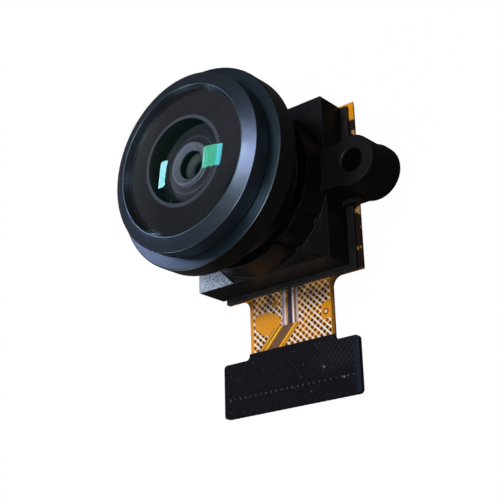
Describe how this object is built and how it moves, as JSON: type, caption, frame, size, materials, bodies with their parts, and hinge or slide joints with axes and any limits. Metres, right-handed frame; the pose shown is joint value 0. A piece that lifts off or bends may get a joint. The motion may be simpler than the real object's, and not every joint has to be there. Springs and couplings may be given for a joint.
{
  "type": "wide-angle camera module",
  "caption": "Wide-angle camera module: screw-in lens in a two-eared moulded holder on a flexible circuit whose tail ends in a stiffened contact plug.",
  "frame": {"origin": "on the optical axis, at the rear face of the head stiffener", "axes": "+Z along the optical axis, out of the lens; the circuit's tail runs to -Y; the ears lie along X"},
  "size_m": [0.0218, 0.0235, 0.0127],
  "materials": {
    "moulded_black": "fine satin moulding",
    "barrel_anodised": "black anodised, turned",
    "bezel_anodised": "black anodised, satin, fine turned lines",
    "coated_glass": "polished, anti-reflection coated",
    "inner_glass": "polished, green anti-reflection coating",
    "filter_glass": "infrared-blocking coating",
    "baffle_film": "matte black film",
    "spacer_metal": "dark anodised, stepped",
    "polyimide_flex": "amber polyimide over copper mesh and traces",
    "plug_film": "black film over stiffener",
    "black_stiffener": "black glass-fibre laminate",
    "contact_gold": "gold plated",
    "black_epoxy": "cured epoxy",
    "label_paper": "white label with plain grey-blue dots",
    "sensor_silicon": "chip-scale package",
    "solder": "bright solder",
    "chip_ceramic": "fired chip bodies"
  },
  "bodies": {
    "root": {"flex_circuit": "polyimide_flex", "head_stiffener": "black_stiffener", "plug_stiffener": "plug_film", "contact_fingers": "contact_gold", "lens_holder": "moulded_black", "base_glue": "black_epoxy", "focus_glue": "black_epoxy", "label": "label_paper", "lens_barrel": "barrel_anodised", "front_bezel": "bezel_anodised", "front_element": "coated_glass", "front_baffle": "baffle_film", "second_element": "inner_glass", "front_spacer": "spacer_metal", "third_element": "inner_glass", "aperture_stop": "baffle_film", "rear_spacer": "spacer_metal", "fourth_element": "inner_glass", "fifth_element": "inner_glass", "rear_retainer": "barrel_anodised", "infrared_filter": "filter_glass", "sensor_package": "sensor_silicon", "sensor_cover_glass": "inner_glass", "sensor_solder_balls": "solder", "chip_capacitors": "chip_ceramic", "chip_resistors": "chip_ceramic"}
  },
  "joints": []
}
